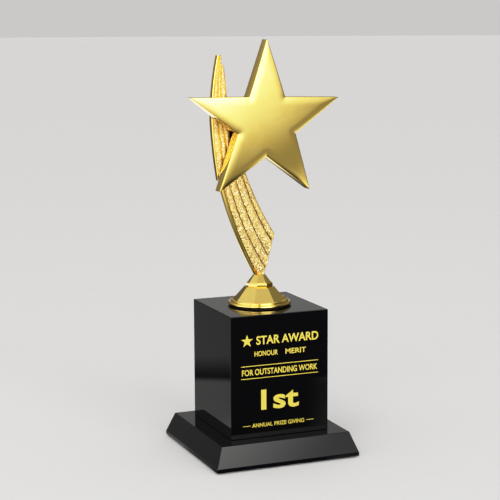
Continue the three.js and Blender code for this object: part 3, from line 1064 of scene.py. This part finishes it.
def cut_cross(mesh, x, top, z, width, slot, depth):
    """Cuts a cross recess into a screw head."""
    cutter_mesh = bpy.data.meshes.new("recess")
    form = bmesh.new()
    for size in ((width, slot), (slot, width)):
        made = bmesh.ops.create_cube(form, size=1.0)
        bmesh.ops.scale(form, verts=made["verts"], vec=(size[0], 2 * depth, size[1]))
        bmesh.ops.translate(form, verts=made["verts"], vec=(x, top, z))
    form.to_mesh(cutter_mesh)
    form.free()
    head = bpy.data.objects.new("head", mesh)
    cutter = bpy.data.objects.new("cutter", cutter_mesh)
    for item in (head, cutter):
        bpy.context.scene.collection.objects.link(item)
    cut = head.modifiers.new("recess", "BOOLEAN")
    cut.operation = "DIFFERENCE"
    cut.solver = "EXACT"
    cut.use_self = True
    cut.object = cutter
    graph = bpy.context.evaluated_depsgraph_get()
    result = bpy.data.meshes.new_from_object(head.evaluated_get(graph))
    for item in (head, cutter):
        bpy.data.objects.remove(item)
    return result


SCREWS = ["lower_star_screw", "upper_star_screw", "lower_ribbon_screw_1", "lower_ribbon_screw_2",
          "upper_ribbon_screw_1", "upper_ribbon_screw_2"]


def build_screws():
    """Pan-head screws with cross recesses."""
    for node in SCREWS:
        low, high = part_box(node)
        x, z = (low.x + high.x) / 2, (low.z + high.z) / 2
        head = (high.x - low.x) / 2
        shank = head / 1.9
        seat = BRACKET_HIGH.y
        height = high.y - seat
        rim = 0.35
        profile = [
            (0.0, low.y), (0.7 * shank, low.y), (shank, low.y + 0.3 * shank),
            (shank, seat), (head, seat), (head, seat + rim * height),
        ]
        profile += [(head * math.cos(a), seat + height * (rim + (1 - rim) * math.sin(a)))
                    for a in np.radians(np.linspace(8, 82, 9))]
        profile += [(0.0, high.y)]
        mesh = turned_along_y(node + "_turned", profile, x, z, 32)
        mesh = cut_cross(mesh, x, high.y, z, 1.15 * head, 0.24 * head, 0.55 * height)
        piece_from(mesh, node + "_turned", ["bright steel"], [node], 28)


# ---------------------------------------------------------------- carried-over parts

CARRIED = {
    "star_back_plate": "polished gold",
    "foot_gasket": "rubber",
    "tie_rod": "bright steel",
    "rod_nut": "bright steel",
    "rod_washer": "bright steel",
    "tang_pin": "bright steel",
    "fibre_washer": "fibre",
}


def finish_carried_parts():
    """Gives the frame's own parts their materials."""
    for node, finish in CARRIED.items():
        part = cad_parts[node]
        part.data.materials.clear()
        part.data.materials.append(material_called(finish))


# ---------------------------------------------------------------- printed foil

def foil_from(name, form, x, z):
    """A thin outline in X and Z, as foil on the column's face."""
    mesh = bpy.data.meshes.new(name)
    form.to_mesh(mesh)
    form.free()
    mesh.transform(Matrix.Translation((x, COLUMN_LOW.y, z)))
    return piece_from(mesh, name, ["foil gold"])


def foil_text(name, words, width, height, x, z, weight):
    """A line of plain lettering in foil, fitted to a width and height."""
    thickness = bpy.context.scene.trophy_print.thickness
    text = bpy.data.curves.new(name, "FONT")
    text.body = words
    text.size = height / MM
    text.offset = weight / MM
    text.extrude = thickness / MM
    text.resolution_u = 6
    holder = bpy.data.objects.new(name + "_letters", text)
    bpy.context.scene.collection.objects.link(holder)
    graph = bpy.context.evaluated_depsgraph_get()
    mesh = bpy.data.meshes.new_from_object(holder.evaluated_get(graph))
    bpy.data.objects.remove(holder)
    mesh.name = name
    corners = np.array([v.co for v in mesh.vertices])
    low, high = corners.min(0), corners.max(0)
    middle = (low + high) / 2
    size = high - low
    fit = Matrix.Diagonal((width / size[0], height / size[1], MM, 1.0))
    upright = Matrix.Rotation(math.pi / 2, 4, "X")
    to_middle = Matrix.Translation(-Vector(middle))
    mesh.transform(Matrix.Translation((x, COLUMN_LOW.y, z)) @ upright @ fit @ to_middle)
    return piece_from(mesh, name, ["foil gold"])


def foil_bar(name, width, height, x, z):
    """A thin rule."""
    form = bmesh.new()
    made = bmesh.ops.create_cube(form, size=1.0)
    thickness = bpy.context.scene.trophy_print.thickness
    bmesh.ops.scale(form, verts=made["verts"], vec=(width, 2 * thickness, height))
    round_edges(form, edges_along_y(form, thickness), 0.45 * height, 3)
    return foil_from(name, form, x, z)


def foil_star(name, radius, x, z):
    """A small plain five-pointed star."""
    form = bmesh.new()
    thickness = bpy.context.scene.trophy_print.thickness
    form.faces.new([form.verts.new((c.x, -thickness, c.y)) for c in star_corners(radius)])
    made = bmesh.ops.extrude_face_region(form, geom=list(form.faces))
    moved = [item for item in made["geom"] if isinstance(item, bmesh.types.BMVert)]
    bmesh.ops.translate(form, verts=moved, vec=(0, 2 * thickness, 0))
    bmesh.ops.recalc_face_normals(form, faces=form.faces)
    return foil_from(name, form, x, z)


def build_print():
    """Generic gold lines on the column's front."""
    words = bpy.context.scene.trophy_print
    top = COLUMN_HIGH.z / MM
    title, pair, middle, large, foot = (top - drop for drop in (19.4, 29.6, 43.6, 65.6, 84.9))
    foil_star("foil_emblem", 5.0 * MM, -26.8 * MM, title * MM)
    # Name, words (none for a rule), width, height, place across, place up and how much bolder.
    for name, line, width, height, x, z, weight in (
        ("foil_title", words.title, 51, 6.6, 6.2, title, 0.12),
        ("foil_left_word", words.left_word, 19, 3.9, -11.3, pair, 0.05),
        ("foil_right_word", words.right_word, 17, 3.9, 13.0, pair, 0.05),
        ("foil_upper_rule", None, 63.4, 0.45, 0, top - 38.7, 0),
        ("foil_middle", words.middle, 62, 4.6, 0, middle, 0.06),
        ("foil_lower_rule", None, 63.4, 0.45, 0, top - 48.3, 0),
        ("foil_large", words.large, 31, 15.7, 0, large, 0.35),
        ("foil_foot", words.foot, 43, 3.1, -1.5, foot, 0.03),
        ("foil_left_dash", None, 6.3, 0.4, -27.4, foot, 0),
        ("foil_right_dash", None, 6.3, 0.4, 24.7, foot, 0),
    ):
        if line is None:
            foil_bar(name, width * MM, height * MM, x * MM, z * MM)
        else:
            foil_text(name, line, width * MM, height * MM, x * MM, z * MM, weight * MM)


# ---------------------------------------------------------------- stage

def toward(azimuth, elevation):
    """A direction from its azimuth and elevation in degrees; azimuth grows from -Y toward +X."""
    a, e = math.radians(azimuth), math.radians(elevation)
    return (math.sin(a) * math.cos(e), -math.cos(a) * math.cos(e), math.sin(e))


def glow(tree, direction, azimuth, elevation, inner, outer, strength):
    """A soft round glow in the surroundings: full brightness within inner degrees, none past outer."""
    nearness = vector_math(tree, "DOT_PRODUCT", {0: direction, 1: toward(azimuth, elevation)})
    none, full = math.cos(math.radians(outer)), math.cos(math.radians(inner))
    return remap(tree, nearness, none, full, 0.0, strength, True)


# Soft glows round the trophy: azimuth, elevation, inner and outer angle in degrees, brightness.
GLOWS = [
    (9, 20, 18, 33, 1.7),
    (18, 74, 8, 36, 0.55),
    (2, 15, 5, 26, 4.0),
    (26, -12, 8, 24, 0.18),
    (42, -30, 10, 24, 1.5),
    (18, 28, 3, 10.5, 5.0),
    (-120, 50, 10, 50, 0.7),
    (-76, -4, 24, 50, 2.2),
    (-12, -11, 10, 22, 2.0),
    (-157, 9, 4, 16, 0.12),
    (158, 60, 5, 25, 2.5),
    (160, 9, 3, 18, 0.3),
    (108, 32, 5, 30, 0.1),
]
# Brightness of the surroundings between the glows, and of the floor between its own.
DIM = 0.12
FLOOR_DIM = 0.04
WARM_WHITE = (1.0, 0.99, 0.97, 1.0)


def build_world():
    """Surroundings of soft glows that only polished surfaces see, with even light for the rest."""
    world = bpy.data.worlds.new("studio")
    bpy.context.scene.world = world
    world.use_nodes = True
    tree = world.node_tree
    mirrored = tree.nodes["Background"]
    direction = add(tree, "ShaderNodeTexCoord").outputs["Generated"]
    total = DIM
    for lobe in GLOWS:
        total = math_node(tree, "ADD", glow(tree, direction, *lobe), total)
    tree.links.new(total, mirrored.inputs["Strength"])
    mirrored.inputs["Color"].default_value = WARM_WHITE
    even = add(tree, "ShaderNodeBackground", {"Color": (1.0, 1.0, 1.0, 1.0), "Strength": 0.75})
    pale = add(tree, "ShaderNodeBackground", {"Color": (0.6, 0.59, 0.58, 1.0), "Strength": 1.0})
    path = add(tree, "ShaderNodeLightPath")
    matt = add(tree, "ShaderNodeMixShader", {
        0: path.outputs["Is Diffuse Ray"], 1: mirrored.outputs[0], 2: even.outputs[0]})
    seen = add(tree, "ShaderNodeMixShader", {
        0: path.outputs["Is Camera Ray"], 1: matt.outputs[0], 2: pale.outputs[0]})
    tree.links.new(seen.outputs[0], tree.nodes["World Output"].inputs["Surface"])


# The floor as polished surfaces see it: the same kind of glows, by direction from its middle.
FLOOR_GLOWS = [
    (52, 0, 19, 27, 2.2),
    (-91, 0, 25, 50, 1.3),
    (-130, 0, 40, 75, 0.2),
    (-178, 0, 6, 16, 1.7),
]
NEAR_GLOW = (-150, 0, 30, 55, 0.33)
# How far from the floor's middle each of these changes starts and ends.
NEAR_GLOW_ENDS = (0.235, 0.26)
FLOOR_GLOWS_START = (0.26, 0.36)
FLOOR_CLEARS = (0.65, 0.9)


def build_floor():
    """Pale floor that glows to glossy rays though it is no lamp: polished surfaces see painted reflection
    light, a dim ground with soft bright patches.
    """
    form = bmesh.new()
    bmesh.ops.create_circle(form, cap_ends=True, segments=96, radius=20.0)
    mesh = bpy.data.meshes.new("floor")
    form.to_mesh(mesh)
    form.free()
    material, tree, shader = new_material("pale floor")
    colour = opaque(bpy.context.scene.trophy_stage.floor)
    place = object_place(tree)
    grain = noise(tree, place, 40.0, 4.0)
    darker = tinted(colour, (0.97, 0.97, 0.97))
    connect(tree, shader, {"Base Color": blend_colour(tree, grain, darker, colour)})
    shader.inputs["Roughness"].default_value = 0.9
    shader.inputs["Specular IOR Level"].default_value = 0.0
    reach = vector_math(tree, "LENGTH", {0: place})
    aim = vector_math(tree, "NORMALIZE", {0: place})
    shade = FLOOR_DIM
    for lobe in FLOOR_GLOWS:
        shade = math_node(tree, "ADD", glow(tree, aim, *lobe), shade)
    # Near the trophy the glows fall to this share: a painted shade in the floor's reflection.
    least = 0.15
    shade = math_node(tree, "MULTIPLY", shade, remap(tree, reach, *FLOOR_GLOWS_START, least, 1.0, True))
    near = remap(tree, reach, *NEAR_GLOW_ENDS, 1.0, 0.0, True)
    near = math_node(tree, "MULTIPLY", glow(tree, aim, *NEAR_GLOW), near)
    shade = math_node(tree, "ADD", shade, near)
    far = remap(tree, reach, *FLOOR_CLEARS, 0.0, 1.0, True)
    glossy = add(tree, "ShaderNodeLightPath").outputs["Is Glossy Ray"]
    # Emission that glossy rays see in place of the floor's pale colour: painted reflection light.
    painted_reflection_glow = add(tree, "ShaderNodeEmission", {"Color": WARM_WHITE, "Strength": shade})
    clear = add(tree, "ShaderNodeBsdfTransparent")
    mirrored = add(tree, "ShaderNodeMixShader", {0: far, 1: painted_reflection_glow.outputs[0], 2: clear.outputs[0]})
    mixed = add(tree, "ShaderNodeMixShader", {0: glossy, 1: shader.outputs[0], 2: mirrored.outputs[0]})
    tree.links.new(mixed.outputs[0], tree.nodes["Material Output"].inputs["Surface"])
    mesh.materials.append(material)
    floor = bpy.data.objects.new("floor", mesh)
    bpy.context.scene.collection.objects.link(floor)


def build_flag():
    """A low dark flag that keeps the far floor out of the column's front."""
    low, high = Vector((-0.02, -0.30, 0.0)), Vector((0.34, -0.22, 0.075))
    mesh = bpy.data.meshes.new("flag")
    mesh.from_pydata([
        (low.x, low.y, low.z), (high.x, high.y, low.z),
        (high.x, high.y, high.z), (low.x, low.y, high.z),
    ], [], [(0, 1, 2, 3)])
    material, tree, _ = new_material("flag cloth")
    shade = add(tree, "ShaderNodeEmission", {"Color": (0.01, 0.01, 0.01, 1.0)})
    tree.links.new(shade.outputs[0], tree.nodes["Material Output"].inputs["Surface"])
    mesh.materials.append(material)
    flag = bpy.data.objects.new("flag", mesh)
    flag.visible_camera = False
    flag.visible_diffuse = False
    flag.visible_shadow = False
    bpy.context.scene.collection.objects.link(flag)


def softbox(name, place, aim, width, height, power):
    """A rectangular studio light that points at a spot."""
    light = bpy.data.lights.new(name, "AREA")
    light.shape = "RECTANGLE"
    light.size = width
    light.size_y = height
    light.energy = power
    lamp = bpy.data.objects.new(name, light)
    lamp.location = place
    lamp.rotation_euler = (Vector(aim) - Vector(place)).to_track_quat("-Z", "Y").to_euler()
    bpy.context.scene.collection.objects.link(lamp)


def build_camera():
    """Camera that looks at a point beside the trophy's axis, with a slight roll."""
    stage = bpy.context.scene.trophy_stage
    a, e = stage.azimuth, stage.elevation
    back = Vector((math.sin(a) * math.cos(e), -math.cos(a) * math.cos(e), math.sin(e)))
    right = Vector((math.cos(a), math.sin(a), 0))
    up = back.cross(right)
    target = right * stage.look_side + Vector((0, 0, stage.look_height))
    lens = bpy.data.cameras.new("camera")
    lens.lens = stage.lens
    lens.sensor_width = 36
    lens.clip_start = 0.05
    lens.clip_end = 100
    camera = bpy.data.objects.new("camera", lens)
    turned_right = right * math.cos(stage.tilt) + up * math.sin(stage.tilt)
    turned_up = up * math.cos(stage.tilt) - right * math.sin(stage.tilt)
    camera.matrix_world = Matrix((turned_right, turned_up, back)).transposed().to_4x4()
    camera.matrix_world.translation = target + back * stage.distance
    bpy.context.scene.collection.objects.link(camera)
    bpy.context.scene.camera = camera


def build_stage():
    """Surroundings, floor, light, flag, camera and tone."""
    build_world()
    build_floor()
    softbox("key softbox", (-0.9, -1.0, 1.3), (0, 0, 0.15), 0.7, 0.7, 9)
    build_flag()
    build_camera()
    set_tone()


def set_tone():
    """A soft shoulder for the highlights, as a camera gives."""
    view = bpy.context.scene.view_settings
    view.view_transform = "Standard"
    view.look = "None"
    view.use_curve_mapping = True
    mapping = view.curve_mapping
    brightest = 3.0
    mapping.white_level = (brightest, brightest, brightest)
    tones = mapping.curves[3]
    for light, shown in ((0.25, 0.25), (0.5, 0.5), (0.8, 0.74), (1.2, 0.9), (1.8, 0.98)):
        tones.points.new(light / brightest, shown)
    mapping.update()


# ---------------------------------------------------------------- operators

class TROPHY_OT_base(Operator):
    """Build the felt pad, plinth and column"""

    bl_idname = "trophy.base"
    bl_label = "Base"
    bl_options = {"REGISTER", "UNDO"}

    def execute(self, context):
        build_pad()
        build_plinth()
        build_column()
        return {"FINISHED"}


class TROPHY_OT_print(Operator):
    """Print the foil lines on the column"""

    bl_idname = "trophy.print"
    bl_label = "Foil Print"
    bl_options = {"REGISTER", "UNDO"}

    def execute(self, context):
        build_print()
        return {"FINISHED"}


class TROPHY_OT_foot(Operator):
    """Build the ring, bell, collar and neck of the foot"""

    bl_idname = "trophy.foot"
    bl_label = "Foot"
    bl_options = {"REGISTER", "UNDO"}

    def execute(self, context):
        build_foot_ring()
        build_bell()
        build_collar()
        build_neck()
        return {"FINISHED"}


class TROPHY_OT_ribbons(Operator):
    """Build both ribbons"""

    bl_idname = "trophy.ribbons"
    bl_label = "Ribbons"
    bl_options = {"REGISTER", "UNDO"}

    def execute(self, context):
        build_lower_ribbon()
        build_upper_ribbon()
        return {"FINISHED"}


class TROPHY_OT_star(Operator):
    """Build the star"""

    bl_idname = "trophy.star"
    bl_label = "Star"
    bl_options = {"REGISTER", "UNDO"}

    def execute(self, context):
        build_star()
        return {"FINISHED"}


class TROPHY_OT_bracket(Operator):
    """Build the bracket, spacers and screws behind the star"""

    bl_idname = "trophy.bracket"
    bl_label = "Bracket and Screws"
    bl_options = {"REGISTER", "UNDO"}

    def execute(self, context):
        build_bracket()
        build_spacers()
        build_screws()
        return {"FINISHED"}


class TROPHY_OT_carried(Operator):
    """Finish the parts that keep their frame shape"""

    bl_idname = "trophy.carried"
    bl_label = "Inner Parts"
    bl_options = {"REGISTER", "UNDO"}

    def execute(self, context):
        finish_carried_parts()
        return {"FINISHED"}


class TROPHY_OT_stage(Operator):
    """Set the floor, lights and camera"""

    bl_idname = "trophy.stage"
    bl_label = "Stage"
    bl_options = {"REGISTER", "UNDO"}

    def execute(self, context):
        build_stage()
        return {"FINISHED"}


OPERATORS = (
    TROPHY_OT_stage, TROPHY_OT_base, TROPHY_OT_print, TROPHY_OT_foot, TROPHY_OT_ribbons,
    TROPHY_OT_star, TROPHY_OT_bracket, TROPHY_OT_carried,
)
GROUPS = {
    "trophy_gold": TrophyGold,
    "trophy_crystal": TrophyCrystal,
    "trophy_star": TrophyStar,
    "trophy_ribbon": TrophyRibbon,
    "trophy_print": TrophyPrint,
    "trophy_stage": TrophyStage,
}


class TROPHY_PT_panel(Panel):
    """Sidebar panel that lists the trophy's pieces"""

    bl_idname = "TROPHY_PT_panel"
    bl_label = "Star Trophy"
    bl_space_type = "VIEW_3D"
    bl_region_type = "UI"
    bl_category = "Trophy"

    def draw(self, context):
        for kind in OPERATORS:
            self.layout.operator(kind.bl_idname)


def register():
    """Makes the settings, operators and panel known."""
    for kind in (*GROUPS.values(), *OPERATORS, TROPHY_PT_panel):
        bpy.utils.register_class(kind)
    for name, kind in GROUPS.items():
        setattr(bpy.types.Scene, name, PointerProperty(type=kind))


def unregister():
    """Takes the settings, operators and panel away again."""
    for name in GROUPS:
        delattr(bpy.types.Scene, name)
    for kind in reversed((*GROUPS.values(), *OPERATORS, TROPHY_PT_panel)):
        bpy.utils.unregister_class(kind)


def main():
    """Builds everything in order."""
    register()
    bpy.ops.trophy.stage()
    bpy.ops.trophy.base()
    bpy.ops.trophy.print()
    bpy.ops.trophy.foot()
    bpy.ops.trophy.ribbons()
    bpy.ops.trophy.star()
    bpy.ops.trophy.bracket()
    bpy.ops.trophy.carried()


if __name__ == "__main__":
    main()
